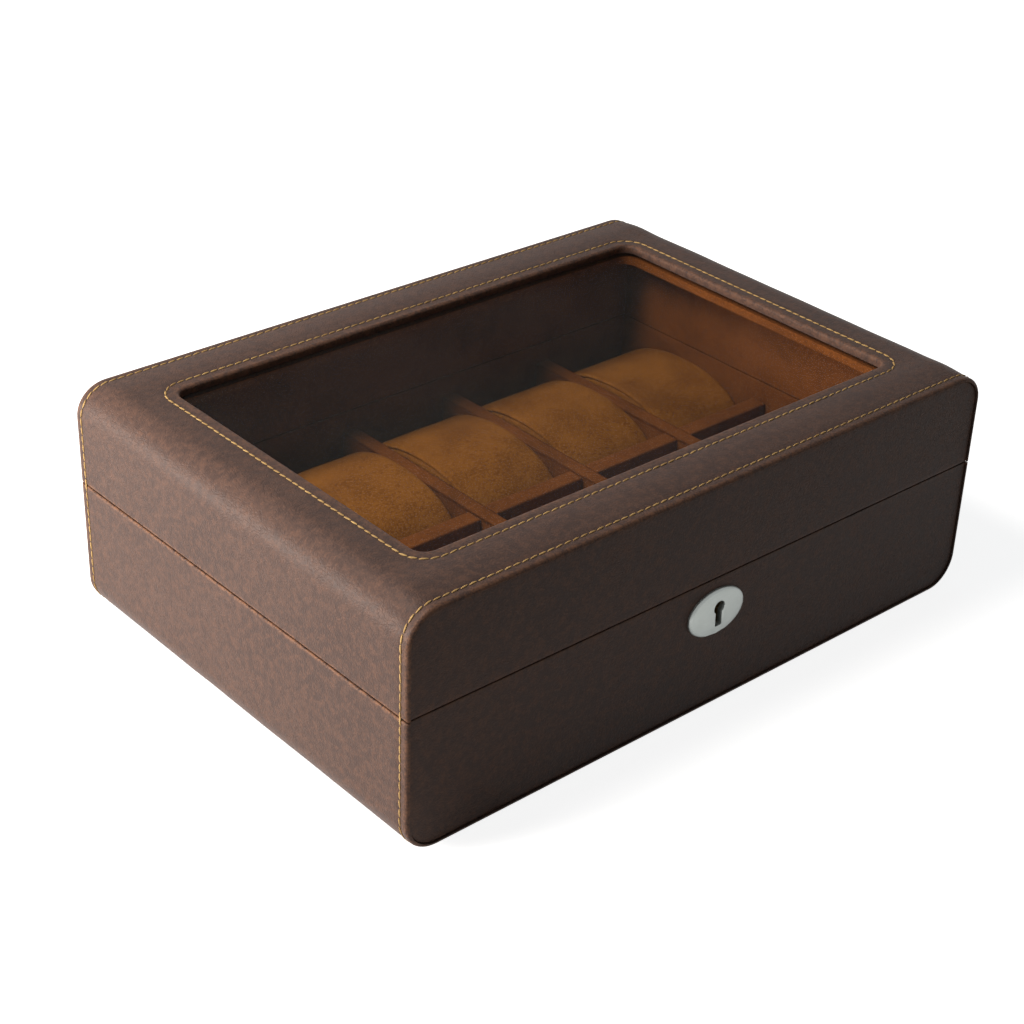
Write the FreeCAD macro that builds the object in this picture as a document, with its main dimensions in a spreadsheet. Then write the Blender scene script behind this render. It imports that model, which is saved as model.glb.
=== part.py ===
import FreeCAD, Part
import math
import os
import re
import Sketcher

# Watch box: a leather-covered wooden case in two halves, with a window in the lid, a lock in the
# front wall and ten cushions in a divided tray. Millimetres, +Z up, front wall towards -Y.
# The origin is the middle of the felt under the base, on the surface the box stands on.

COLUMNS = 5
KNUCKLES = 3
TOLERANCE = 1e-4
ROUNDING_SHARE = 0.9
ROWS = {"front": "-", "back": ""}
SIDES = {"left": "-", "right": ""}

DRIVING_SIZES = {
    # outside of the box
    "box_width": 300.0,
    "box_depth": 210.0,
    "base_height": 59.0,
    "lid_height": 42.8,
    "parting_gap": 0.8,
    "corner_radius": 14.0,
    "edge_rounding": 1.2,
    # materials
    "felt_thickness": 0.8,
    "leather": 1.6,
    "rim_leather": 0.8,
    "wall_board": 12.5,
    "bottom_board": 6.0,
    "lining": 1.2,
    "panel_recess": 0.8,
    "panel_groove": 0.4,
    "felt_margin": 4.0,
    "felt_corner": 5.0,
    # window in the lid
    "window_inset": 28.0,
    "window_corner": 6.0,
    "window_lip": 2.0,
    "glass_thickness": 2.0,
    "glass_overlap": 5.6,
    "glass_clearance": 0.3,
    "retainer_height": 3.5,
    # tray and cushions
    "tray_top": 50.0,
    "divider_thickness": 8.0,
    "tray_clearance": 0.1,
    "cushion_end_gap": 1.0,
    "cushion_side_gap": 3.0,
    "cushion_floor_gap": 0.3,
    "cushion_crown": 3.5,
    "cushion_shoulder": 16.0,
    "cushion_swell": 0.8,
    "cushion_end_draw": 1.6,
    "cushion_end_round": 3.0,
    # hinges
    "hinge_inset": 65.0,
    "hinge_length": 32.0,
    "hinge_reach": 9.0,
    "leaf_thickness": 1.2,
    "leaf_gap": 0.4,
    "barrel_radius": 2.6,
    "barrel_clearance": 0.2,
    "pin_radius": 1.2,
    "running_clearance": 0.05,
    "mortise_clearance": 0.2,
    "leaf_screw_pitch": 19.0,
    # small countersunk screws
    "screw_head_radius": 1.9,
    "screw_head_height": 0.9,
    "screw_radius": 0.8,
    "screw_length": 8.0,
    # lock
    "keyhole_drop": 14.4,
    "case_height": 29.0,
    "case_depth": 8.6,
    "faceplate_ear": 8.0,
    "faceplate_thickness": 1.5,
    "plate_screw_inset": 4.0,
    "plug_wall": 1.0,
    "crank_pin_radius": 1.0,
    "crank_slot_play": 0.3,
    "bolt_thickness": 3.0,
    "bolt_height": 3.0,
    "bolt_travel": 6.0,
    "bolt_setback": 0.6,
    "bolt_heel": 1.5,
    "bolt_tail_width": 7.0,
    "bolt_web": 0.4,
    "staple_thickness": 2.0,
    "staple_width": 6.0,
    "staple_web": 1.7,
    "staple_room": 2.5,
    "staple_play": 0.4,
    "staple_hole_play": 0.3,
    "strike_thickness": 1.2,
    "escutcheon_width": 29.5,
    "escutcheon_height": 20.0,
    "escutcheon_thickness": 2.6,
    "escutcheon_rounding": 1.6,
    "keyhole_radius": 2.8,
    "keyhole_slot": 3.4,
    "keyhole_length": 11.0,
    "keyway_depth": 4.5,
}

DERIVED_SIZES = {
    "half_width": "box_width / 2",
    "half_depth": "box_depth / 2",
    "lid_bottom": "base_height + parting_gap",
    "box_top": "lid_bottom + lid_height",
    # how far a cutter runs past what it cuts
    "beyond": "box_depth / 40",
    # wooden carcass inside the leather
    "board_x": "half_width - leather",
    "board_bottom": "felt_thickness + leather",
    "board_top": "box_top - leather",
    "base_board_top": "base_height - rim_leather",
    "lid_board_bottom": "lid_bottom + rim_leather",
    "board_corner": "corner_radius - leather",
    "panel_face_y": "half_depth - panel_recess",
    "board_y": "panel_face_y - leather",
    "panel_x": "board_x - panel_groove",
    "panel_bottom": "board_bottom + panel_groove",
    "panel_top": "board_top - panel_groove",
    "panel_corner": "board_corner - panel_groove",
    "inside_x": "board_x - wall_board",
    "inside_y": "board_y - wall_board",
    "lined_x": "inside_x - lining",
    "lined_y": "inside_y - lining",
    "tray_bottom": "board_bottom + bottom_board",
    "tray_floor": "tray_bottom + lining",
    "felt_x": "half_width - corner_radius - felt_margin",
    "felt_y": "half_depth - felt_margin",
    # window
    "opening_x": "half_width - window_inset",
    "opening_y": "half_depth - window_inset",
    "collar_x": "opening_x + leather",
    "collar_y": "opening_y + leather",
    "collar_corner": "window_corner + leather",
    "glass_x": "opening_x + glass_overlap",
    "glass_y": "opening_y + glass_overlap",
    "rebate_x": "glass_x + glass_clearance",
    "rebate_y": "glass_y + glass_clearance",
    "rebate_corner": "window_corner + glass_clearance",
    "glass_top": "board_top - window_lip",
    "glass_bottom": "glass_top - glass_thickness",
    "ceiling": "glass_bottom - retainer_height",
    "lined_ceiling": "ceiling - lining",
    # tray
    "divider_half": "divider_thickness / 2",
    "column_pitch": f"(2 * lined_x + divider_thickness) / {COLUMNS}",
    "row_y": "(lined_y + divider_half) / 2",
    "lap_height": "(tray_floor + tray_top) / 2",
    "lap_half": "divider_half + tray_clearance",
    "divider_end_x": "lined_x - tray_clearance",
    "divider_end_y": "lined_y - tray_clearance",
    "cushion_half_length": "(column_pitch - divider_thickness) / 2 - cushion_end_gap",
    "cushion_half_depth": "(lined_y - divider_half) / 2 - cushion_side_gap",
    "cushion_bottom": "tray_floor + cushion_floor_gap",
    "cushion_top": "tray_top + cushion_crown",
    # hinges
    "parting_height": "base_height + parting_gap / 2",
    "hinge_y": "panel_face_y + barrel_clearance + barrel_radius",
    "leaf_inner_y": "panel_face_y - leather - hinge_reach",
    "leaf_outer_y": "panel_face_y",
    "base_leaf_top": "parting_height - leaf_gap / 2",
    "base_leaf_bottom": "base_leaf_top - leaf_thickness",
    "lid_leaf_bottom": "parting_height + leaf_gap / 2",
    "lid_leaf_top": "lid_leaf_bottom + leaf_thickness",
    "leaf_screw_y": "leaf_inner_y + hinge_reach / 2",
    "hinge_x": "half_width - hinge_inset",
    "knuckle_length": f"(hinge_length - {KNUCKLES - 1} * barrel_clearance) / {KNUCKLES}",
    "pin_bore": "pin_radius + running_clearance",
    "mortise_inner_y": "leaf_inner_y - mortise_clearance",
    # lock
    "lock_z": "base_height - keyhole_drop",
    "lock_mid_y": "wall_board / 2 - board_y",
    "crank_offset": "bolt_travel / 2",
    "crank_slot_half": "crank_pin_radius + crank_slot_play",
    "crank_slot_top": "lock_z + crank_offset * sqrt(2) + crank_slot_half",
    "tail_half": "bolt_tail_width / 2",
    "tail_bottom": "lock_z + crank_offset - 2 * crank_pin_radius",
    "bolt_front": "lock_mid_y - bolt_thickness / 2",
    "bolt_back": "lock_mid_y + bolt_thickness / 2",
    "bolt_bottom": "crank_slot_top + bolt_web",
    "bolt_top": "bolt_bottom + bolt_height",
    "staple_half": "staple_thickness / 2",
    "staple_x": "crank_offset + tail_half + staple_room + staple_half",
    "staple_bottom": "bolt_bottom - staple_hole_play - staple_web",
    "bolt_left": "-crank_offset - tail_half - bolt_heel",
    "bolt_right": "staple_x - staple_half - bolt_setback",
    "plug_radius": "crank_offset * sqrt(2) + crank_pin_radius + plug_wall",
    "plug_bore": "plug_radius + running_clearance",
    "plug_front": "-panel_face_y + running_clearance",
    "plug_back": "bolt_front - 2 * running_clearance",
    "case_half_width": "staple_x + bolt_travel",
    "case_front": "lock_mid_y - case_depth / 2",
    "case_back": "lock_mid_y + case_depth / 2",
    "case_bottom": "base_height - case_height",
    "faceplate_half_width": "case_half_width + faceplate_ear",
    "faceplate_bottom": "base_height - faceplate_thickness",
    "plate_screw_x": "faceplate_half_width - plate_screw_inset",
    "strike_top": "lid_bottom + strike_thickness",
}

doc = FreeCAD.newDocument("WatchBox")
sheet = doc.addObject("Spreadsheet::Sheet", "Sizes")


def fill_sheet():
    """Driving sizes as plain numbers, then the sizes that follow from them as formulas."""
    cells = {alias: str(value) for alias, value in DRIVING_SIZES.items()}
    cells.update({alias: "=" + text for alias, text in DERIVED_SIZES.items()})
    for row, (alias, content) in enumerate(cells.items(), start=1):
        sheet.set(f"A{row}", alias)
        sheet.set(f"B{row}", content)
        sheet.setAlias(f"B{row}", alias)
    doc.recompute()
    return set(cells)


ALIASES = fill_sheet()


def number(term):
    """Present value of a named size, with an optional minus sign before the name."""
    if isinstance(term, (int, float)):
        return float(term)
    sign = -1.0 if term.startswith("-") else 1.0
    return sign * float(getattr(sheet, term.lstrip("-")))


def formula(text):
    """A formula in the sheet's own words, as an expression that any object can use."""
    def cell(match):
        word = match.group(0)
        return f"Sizes.{word}" if word in ALIASES else word
    return re.sub(r"[a-z]\w*", cell, str(text))


def block(name, x, y, z):
    """Box between two formulas along each axis."""
    box = doc.addObject("Part::Box", name)
    for size, axis, (low, high) in zip(("Length", "Width", "Height"), "xyz", (x, y, z)):
        box.setExpression(size, formula(f"({high}) - ({low})"))
        box.setExpression(f"Placement.Base.{axis}", formula(low))
    return box


def rod(name, axis, radius, start, end, across):
    """Cylinder along an axis, from start to end, at two formulas across it."""
    turns = {
        "x": FreeCAD.Rotation(FreeCAD.Vector(0, 1, 0), 90),
        "y": FreeCAD.Rotation(FreeCAD.Vector(1, 0, 0), -90),
        "z": FreeCAD.Rotation(),
    }
    cylinder = doc.addObject("Part::Cylinder", name)
    cylinder.Placement = FreeCAD.Placement(FreeCAD.Vector(), turns[axis])
    cylinder.setExpression("Radius", formula(radius))
    cylinder.setExpression("Height", formula(f"({end}) - ({start})"))
    cylinder.setExpression(f"Placement.Base.{axis}", formula(start))
    for other, place in zip([a for a in "xyz" if a != axis], across):
        cylinder.setExpression(f"Placement.Base.{other}", formula(place))
    return cylinder


def fused(name, pieces):
    union = doc.addObject("Part::MultiFuse", name)
    union.Shapes = pieces
    union.Refine = True
    return union


def cut(name, base, tools):
    """Base with every tool taken away."""
    result = doc.addObject("Part::Cut", name)
    result.Base = base
    result.Tool = tools[0] if len(tools) == 1 else fused(name + "_cutters", tools)
    return result


def common(name, first, second):
    result = doc.addObject("Part::Common", name)
    result.Base = first
    result.Tool = second
    return result


def origin_plane(body, role):
    return next(item for item in body.Origin.OriginFeatures if item.Role == role)


def sketch_on(body, name, role, offset="0"):
    """Sketch on one of the body's own origin planes, moved along its normal."""
    sketch = body.newObject("Sketcher::SketchObject", name)
    sketch.AttachmentSupport = (origin_plane(body, role), [""])
    sketch.MapMode = "FlatFace"
    sketch.setExpression("AttachmentOffset.Base.z", formula(offset))
    return sketch


def limit(sketch, label, kind, geometry, term):
    """Hold a line's first point at a named distance from the sketch's origin."""
    index = sketch.addConstraint(Sketcher.Constraint(kind, -1, 1, geometry, 1, number(term)))
    sketch.renameConstraint(index, label)
    sketch.setExpression(f"Constraints.{label}", formula(term))


def draw_rounded_rectangle(sketch, label, left, right, bottom, top, radius):
    """Rounded rectangle between four named limits, with every corner of one radius."""
    x0, x1, y0, y1, r = (number(term) for term in (left, right, bottom, top, radius))
    corners = ((x1 - r, y0 + r, -90), (x1 - r, y1 - r, 0), (x0 + r, y1 - r, 90), (x0 + r, y0 + r, 180))
    ends = (
        ((x0 + r, y0), (x1 - r, y0)),
        ((x1, y0 + r), (x1, y1 - r)),
        ((x1 - r, y1), (x0 + r, y1)),
        ((x0, y1 - r), (x0, y0 + r)),
    )
    upward = FreeCAD.Vector(0, 0, 1)
    first = sketch.GeometryCount
    for (start, end), (cx, cy, angle) in zip(ends, corners):
        sketch.addGeometry(Part.LineSegment(FreeCAD.Vector(*start, 0), FreeCAD.Vector(*end, 0)))
        circle = Part.Circle(FreeCAD.Vector(cx, cy, 0), upward, r)
        sketch.addGeometry(Part.ArcOfCircle(circle, math.radians(angle), math.radians(angle + 90)))
    for step in range(8):
        here = first + step
        following = first + (step + 1) % 8
        sketch.addConstraint(Sketcher.Constraint("Tangent", here, 2, following, 1))
    for step, direction in ((0, "Horizontal"), (2, "Vertical"), (4, "Horizontal"), (6, "Vertical")):
        sketch.addConstraint(Sketcher.Constraint(direction, first + step))
    for step in (3, 5, 7):
        sketch.addConstraint(Sketcher.Constraint("Equal", first + 1, first + step))
    index = sketch.addConstraint(Sketcher.Constraint("Radius", first + 1, r))
    sketch.renameConstraint(index, label + "_radius")
    sketch.setExpression(f"Constraints.{label}_radius", formula(radius))
    limit(sketch, label + "_bottom", "DistanceY", first, bottom)
    limit(sketch, label + "_right", "DistanceX", first + 2, right)
    limit(sketch, label + "_top", "DistanceY", first + 4, top)
    limit(sketch, label + "_left", "DistanceX", first + 6, left)


def pad(body, name, sketch, length, both_ways=False):
    feature = body.newObject("PartDesign::Pad", name)
    feature.Profile = sketch
    feature.setExpression("Length", formula(length))
    feature.Midplane = both_ways
    return feature


def rounded_plate(name, x, y, z, radius):
    """Flat plate about the middle of the box, half sizes x and y, between two heights."""
    body = doc.addObject("PartDesign::Body", name)
    outline = sketch_on(body, name + "_outline", "XY_Plane", z[0])
    draw_rounded_rectangle(outline, "edge", "-" + x, x, "-" + y, y, radius)
    pad(body, name + "_plate", outline, f"({z[1]}) - ({z[0]})")
    return body


def rounded_frame(name, outer, inner, z):
    """Flat frame: a rounded plate with a rounded opening. outer and inner are (x, y, radius)."""
    body = doc.addObject("PartDesign::Body", name)
    outline = sketch_on(body, name + "_outline", "XY_Plane", z[0])
    for label, (x, y, radius) in (("outer", outer), ("inner", inner)):
        draw_rounded_rectangle(outline, label, "-" + x, x, "-" + y, y, radius)
    pad(body, name + "_frame", outline, f"({z[1]}) - ({z[0]})")
    return body


def rounded_bar(name, x, bottom, top, radius):
    """Bar as long as the box is deep, with its four long edges rounded."""
    body = doc.addObject("PartDesign::Body", name)
    outline = sketch_on(body, name + "_section", "XZ_Plane")
    draw_rounded_rectangle(outline, "edge", "-" + x, x, bottom, top, radius)
    pad(body, name + "_bar", outline, "box_depth", both_ways=True)
    return body


def cone(name, low_radius, high_radius, low, high, x, y):
    """Upright cone between two heights."""
    shape = doc.addObject("Part::Cone", name)
    shape.setExpression("Radius1", formula(low_radius))
    shape.setExpression("Radius2", formula(high_radius))
    shape.setExpression("Height", formula(f"({high}) - ({low})"))
    for axis, place in zip("xyz", (x, y, low)):
        shape.setExpression(f"Placement.Base.{axis}", formula(place))
    return shape


def screw(name, x, y, head_z, points, play="0"):
    """Countersunk wood screw with its head at head_z. With play it is the hole for that screw."""
    head = f"screw_head_radius + {play}"
    shank = f"screw_radius + {play}"
    if points == "down":
        neck = f"{head_z} - screw_head_height"
        top = cone(name + "_head", shank, head, neck, head_z, x, y)
        stem = rod(name + "_shank", "z", shank, f"{head_z} - screw_length - {play}", neck, (x, y))
    else:
        neck = f"{head_z} + screw_head_height"
        top = cone(name + "_head", head, shank, head_z, neck, x, y)
        stem = rod(name + "_shank", "z", shank, neck, f"{head_z} + screw_length + {play}", (x, y))
    return fused(name, [top, stem])


def screw_holes(name, places, head_z, points):
    return [
        screw(f"{name}_hole_{index}", x, y, head_z, points, "running_clearance")
        for index, (x, y) in enumerate(places, start=1)
    ]


def screw_group(name, places, head_z, points):
    """Identical screws as one group of separate solids."""
    group = doc.addObject("Part::Compound", name)
    group.Links = [
        screw(f"{name}_{index}", x, y, head_z, points) for index, (x, y) in enumerate(places, start=1)
    ]
    return group


def rounded_edges(name, base, on_edge):
    """Base with every edge that on_edge picks rounded, no more than the leather allows."""
    doc.recompute()
    radius = min(number("edge_rounding"), number("leather") * ROUNDING_SHARE)
    result = doc.addObject("Part::Fillet", name)
    result.Base = base
    picked = [index for index, edge in enumerate(base.Shape.Edges, start=1) if on_edge(edge)]
    result.Edges = [(index, radius, radius) for index in picked]
    return result


def near(value, term):
    return abs(value - number(term)) < TOLERANCE


def end_edge(edge):
    """True for an edge round the outside of the leather at its front or back end."""
    box = edge.BoundBox
    if box.YLength > TOLERANCE or not near(abs(box.YMin), "half_depth"):
        return False
    if isinstance(edge.Curve, Part.Circle):
        return near(edge.Curve.Radius, "corner_radius")
    upright = box.XLength < TOLERANCE and near(abs(box.XMin), "half_width")
    level = box.ZLength < TOLERANCE and (near(box.ZMin, "felt_thickness") or near(box.ZMin, "box_top"))
    return upright or level


def window_edge(edge):
    """True for an edge round the top of the window opening."""
    box = edge.BoundBox
    on_top = box.ZLength < TOLERANCE and near(box.ZMin, "box_top")
    inside_x = abs(box.Center.x) < number("opening_x") + TOLERANCE
    inside_y = abs(box.Center.y) < number("opening_y") + TOLERANCE
    return on_top and inside_x and inside_y


def keep(item, name):
    """Record a finished piece under the name of its file."""
    item.Label = name
    pieces[name] = item


def across(half):
    return (f"-({half})", half)


pieces = {}

# Forms that several pieces share: the carcass inside the leather, the outline of its end panels,
# and the leather sleeve round the carcass before it is parted.
carcass_form = rounded_bar("carcass_form", "board_x", "board_bottom", "board_top", "board_corner")
panel_form = rounded_bar("panel_form", "panel_x", "panel_bottom", "panel_top", "panel_corner")
sleeve_form = rounded_bar("sleeve_form", "half_width", "felt_thickness", "box_top", "corner_radius")
sleeve = cut("leather_sleeve", sleeve_form, [carcass_form])

FULL_X = across("half_width + beyond")
FULL_Y = across("half_depth + beyond")
INSIDE_X = across("inside_x")
WALL_Y = {"front": ("-board_y", "-inside_y"), "back": ("inside_y", "board_y")}
WALL_X = {"left": ("-board_x", "-inside_x"), "right": ("inside_x", "board_x")}
PANEL_Y = {"front": ("-panel_face_y", "-board_y"), "back": ("board_y", "panel_face_y")}
BASE_Z = ("board_bottom", "base_board_top")
LID_Z = ("lid_board_bottom", "board_top")


def build_base():
    felt = rounded_plate("base_felt", "felt_x", "felt_y", ("0", "felt_thickness"), "felt_corner")
    keep(felt, "base_felt")
    above = block("base_parting", FULL_X, FULL_Y, ("base_height", "box_top + beyond"))
    wrap = rounded_edges("base_wrap", cut("base_wrap_plain", sleeve, [above]), end_edge)
    keep(wrap, "base_leather_wrap")
    bottom = block("base_bottom_blank", INSIDE_X, across("board_y"), ("board_bottom", "tray_bottom"))
    keep(common("base_bottom", carcass_form, bottom), "base_bottom_board")
    for side, x in WALL_X.items():
        board = block(f"base_{side}_blank", x, across("board_y"), BASE_Z)
        keep(common(f"base_{side}", carcass_form, board), f"base_{side}_board")
    wall_z = ("tray_bottom", "base_board_top")
    front = block("base_front_blank", INSIDE_X, WALL_Y["front"], wall_z)
    back = block("base_back_blank", INSIDE_X, WALL_Y["back"], wall_z)
    keep(cut("base_front", front, lock_recess()), "base_front_board")
    back_cuts = leaf_recess("base") + screw_holes("base_wall", HINGE_SCREWS, "base_leaf_top", "down")
    keep(cut("base_back", back, back_cuts), "base_back_board")
    skins = {}
    for end, y in PANEL_Y.items():
        blank = block(f"base_{end}_skin_blank", FULL_X, y, ("felt_thickness", "base_height"))
        skins[end] = common(f"base_{end}_skin_whole", panel_form, blank)
    keep(cut("base_front_skin", skins["front"], [plug_passage("base_front_skin")]), "base_front_leather")
    keep(cut("base_back_skin", skins["back"], leaf_recess("base_skin")), "base_back_leather")
    rim_cuts = leaf_recess("base_rim") + [faceplate_recess("base_rim")]
    keep(rim_frame("base_rim", ("base_board_top", "base_height"), rim_cuts), "base_rim_leather")
    keep(lining_frame("base_lining", ("tray_bottom", "base_height")), "base_wall_lining")
    floor = block("tray_lining", across("lined_x"), across("lined_y"), ("tray_bottom", "tray_floor"))
    keep(floor, "tray_floor_lining")


def build_lid():
    below = block("lid_parting", FULL_X, FULL_Y, ("-beyond", "lid_bottom"))
    opening_z = ("glass_top", "box_top + beyond")
    opening = rounded_plate("window_opening", "opening_x", "opening_y", opening_z, "window_corner")
    collar = rounded_frame(
        "window_collar",
        ("collar_x", "collar_y", "collar_corner"),
        ("opening_x", "opening_y", "window_corner"),
        ("glass_top", "board_top"))
    skin = cut("lid_wrap_open", sleeve, [below, opening])
    wrap = fused("lid_wrap_plain", [skin, collar])
    rounded = rounded_edges("lid_wrap", wrap, lambda edge: end_edge(edge) or window_edge(edge))
    keep(rounded, "lid_leather_wrap")
    for side, x in WALL_X.items():
        board = block(f"lid_{side}_blank", x, across("board_y"), LID_Z)
        keep(common(f"lid_{side}", carcass_form, board), f"lid_{side}_board")
    wall_z = ("lid_board_bottom", "ceiling")
    front = block("lid_front_blank", INSIDE_X, WALL_Y["front"], wall_z)
    back = block("lid_back_blank", INSIDE_X, WALL_Y["back"], wall_z)
    keep(cut("lid_front", front, strike_recess()), "lid_front_board")
    back_cuts = leaf_recess("lid") + screw_holes("lid_wall", HINGE_SCREWS, "lid_leaf_bottom", "up")
    keep(cut("lid_back", back, back_cuts), "lid_back_board")
    top_blank = block("lid_top_blank", INSIDE_X, across("board_y"), ("ceiling", "board_top"))
    top = common("lid_top_whole", carcass_form, top_blank)
    lip_z = ("ceiling - beyond", "board_top + beyond")
    lip = rounded_plate("lip_hole", "collar_x", "collar_y", lip_z, "collar_corner")
    rebate_z = ("ceiling - beyond", "glass_top")
    rebate = rounded_plate("glass_rebate", "rebate_x", "rebate_y", rebate_z, "rebate_corner")
    keep(cut("lid_top", top, [lip, rebate]), "lid_top_board")
    for end, y in PANEL_Y.items():
        skin = block(f"lid_{end}_skin_blank", FULL_X, y, ("lid_bottom", "box_top"))
        panel = common(f"lid_{end}_skin_whole", panel_form, skin)
        if end == "back":
            panel = cut("lid_back_skin", panel, leaf_recess("lid_skin"))
        keep(panel, f"lid_{end}_leather")
    glass = rounded_plate("glass", "glass_x", "glass_y", ("glass_bottom", "glass_top"), "window_corner")
    keep(glass, "window_glass")
    retainer = rounded_frame(
        "retainer",
        ("glass_x", "glass_y", "window_corner"),
        ("opening_x", "opening_y", "window_corner"),
        ("ceiling", "glass_bottom"))
    keep(retainer, "glass_retainer")
    rim_cuts = leaf_recess("lid_rim") + [strike_plate_recess("lid_rim")]
    keep(rim_frame("lid_rim", ("lid_bottom", "lid_board_bottom"), rim_cuts), "lid_rim_leather")
    keep(lining_frame("lid_lining", ("lid_bottom", "ceiling")), "lid_wall_lining")
    ceiling = block("ceiling_blank", across("lined_x"), across("lined_y"), ("lined_ceiling", "ceiling"))
    hole_z = ("lined_ceiling - beyond", "ceiling + beyond")
    hole = rounded_plate("ceiling_hole", "rebate_x", "rebate_y", hole_z, "rebate_corner")
    keep(cut("ceiling_lining", ceiling, [hole]), "lid_ceiling_lining")


def lining_frame(name, z):
    """Suede on the four inner walls of one half of the box."""
    low, high = z
    outer = block(name + "_outer", INSIDE_X, across("inside_y"), z)
    inner = block(
        name + "_inner", across("lined_x"), across("lined_y"), (f"{low} - beyond", f"{high} + beyond"))
    return cut(name, outer, [inner])


def rim_frame(name, z, cutters):
    """Leather on the four edges where one half of the box meets the other."""
    low, high = z
    outer = block(name + "_outer", across("board_x"), across("board_y"), z)
    inner = block(name + "_inner", INSIDE_X, across("inside_y"), (f"{low} - beyond", f"{high} + beyond"))
    return cut(name, outer, [inner] + cutters)


def leaf_recess(name):
    """Shallow mortises in the rim of the back wall for the leaves of both hinges."""
    if name.startswith("base"):
        z = ("base_leaf_bottom", "base_height + beyond")
    else:
        z = ("lid_bottom - beyond", "lid_leaf_top")
    half = "hinge_length / 2 + mortise_clearance"
    y = ("mortise_inner_y", "panel_face_y + beyond")
    return [
        block(f"{name}_{side}_mortise", (f"{sign}hinge_x - ({half})", f"{sign}hinge_x + {half}"), y, z)
        for side, sign in SIDES.items()
    ]


def build_hinges():
    """Two butt hinges: the base leaf carries the outer knuckles, the lid leaf the middle one."""
    leaves = {
        "base": ("base_leaf_bottom", "base_leaf_top", "base_leaf_top", "down", range(0, KNUCKLES, 2)),
        "lid": ("lid_leaf_bottom", "lid_leaf_top", "lid_leaf_bottom", "up", range(1, KNUCKLES, 2)),
    }
    for side, sign in SIDES.items():
        start = f"{sign}hinge_x - hinge_length / 2"
        end = f"{sign}hinge_x + hinge_length / 2"
        axis_place = ("hinge_y", "parting_height")
        for half, (low, high, head_z, points, knuckles) in leaves.items():
            name = f"{half}_{side}_leaf"
            solids = [block(name + "_plate", (start, end), ("leaf_inner_y", "leaf_outer_y"), (low, high))]
            for index in knuckles:
                left = f"{start} + {index} * (knuckle_length + barrel_clearance)"
                right = f"{left} + knuckle_length"
                solids.append(rod(f"{name}_knuckle_{index}", "x", "barrel_radius", left, right, axis_place))
                solids.append(
                    block(f"{name}_neck_{index}", (left, right), ("leaf_outer_y", "hinge_y"), (low, high)))
            bore = rod(
                name + "_bore", "x", "pin_bore", f"{start} - beyond", f"{end} + beyond", axis_place)
            places = [place for place in HINGE_SCREWS if place[0].startswith(f"{sign}hinge_x")]
            holes = screw_holes(name, places, head_z, points)
            keep(cut(name, fused(name + "_solid", solids), [bore] + holes), f"hinge_{side}_{half}_leaf")
        keep(rod(f"pin_{side}", "x", "pin_radius", start, end, axis_place), f"hinge_{side}_pin")
    keep(screw_group("base_leaf_screws", HINGE_SCREWS, "base_leaf_top", "down"), "hinge_base_screws")
    keep(screw_group("lid_leaf_screws", HINGE_SCREWS, "lid_leaf_bottom", "up"), "hinge_lid_screws")


def build_tray():
    """Padded dividers, halved over each other like an egg crate."""
    columns = [f"(column_pitch * {index} - lined_x - divider_half)" for index in range(1, COLUMNS)]
    tray_z = ("tray_floor", "tray_top")
    long_divider = block("long_blank", across("divider_end_x"), across("divider_half"), tray_z)
    laps = [
        block(
            f"long_lap_{index}",
            (f"{x} - lap_half", f"{x} + lap_half"),
            across("divider_half + beyond"),
            ("lap_height", "tray_top + beyond"))
        for index, x in enumerate(columns, start=1)
    ]
    keep(cut("long_divider", long_divider, laps), "tray_long_divider")
    for index, x in enumerate(columns, start=1):
        blank = block(
            f"cross_blank_{index}",
            (f"{x} - divider_half", f"{x} + divider_half"),
            across("divider_end_y"),
            tray_z)
        lap = block(
            f"cross_lap_{index}",
            (f"{x} - divider_half - beyond", f"{x} + divider_half + beyond"),
            across("lap_half"),
            ("tray_floor - beyond", "lap_height"))
        keep(cut(f"cross_divider_{index}", blank, [lap]), f"tray_cross_divider_{index}")


def oval_wire(x, y, z, half_y, half_z, shoulder):
    """Oval across the X axis: crown, shoulder, underside and shoulder, as four tangent arcs."""
    crown = (half_y ** 2 - 2 * half_y * shoulder + half_z ** 2) / (2 * (half_z - shoulder))
    slope = math.atan2(crown - half_z, half_y - shoulder)
    joint_y = half_y - shoulder + shoulder * math.cos(slope)
    joint_z = shoulder * math.sin(slope)

    def point(dy, dz):
        return FreeCAD.Vector(x, y + dy, z + dz)

    arcs = (
        (point(-joint_y, joint_z), point(0, half_z), point(joint_y, joint_z)),
        (point(joint_y, joint_z), point(half_y, 0), point(joint_y, -joint_z)),
        (point(joint_y, -joint_z), point(0, -half_z), point(-joint_y, -joint_z)),
        (point(-joint_y, -joint_z), point(-half_y, 0), point(-joint_y, joint_z)),
    )
    return Part.Wire([Part.Arc(*ends).toShape() for ends in arcs])


def cushion_shape():
    """Rolled cushion along X: fullest in the middle, with rounded, drawn-in ends."""
    half_length = number("cushion_half_length")
    half_z = (number("cushion_top") - number("cushion_bottom")) / 2
    end_round = number("cushion_end_round")
    draw = number("cushion_end_draw")
    swell = number("cushion_swell")
    stations = [(0.0, 0.0)]
    for angle in (0, 45, 90):
        turn = math.radians(angle)
        stations.append((half_length - end_round * (1 - math.sin(turn)), swell + draw * (1 - math.cos(turn))))
    sections = [(-x, inset) for x, inset in reversed(stations[1:])] + stations
    wires = [
        oval_wire(
            x, 0, 0, number("cushion_half_depth") - inset, half_z - inset, number("cushion_shoulder") - inset)
        for x, inset in sections
    ]
    return Part.makeLoft(wires, True, False)


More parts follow.
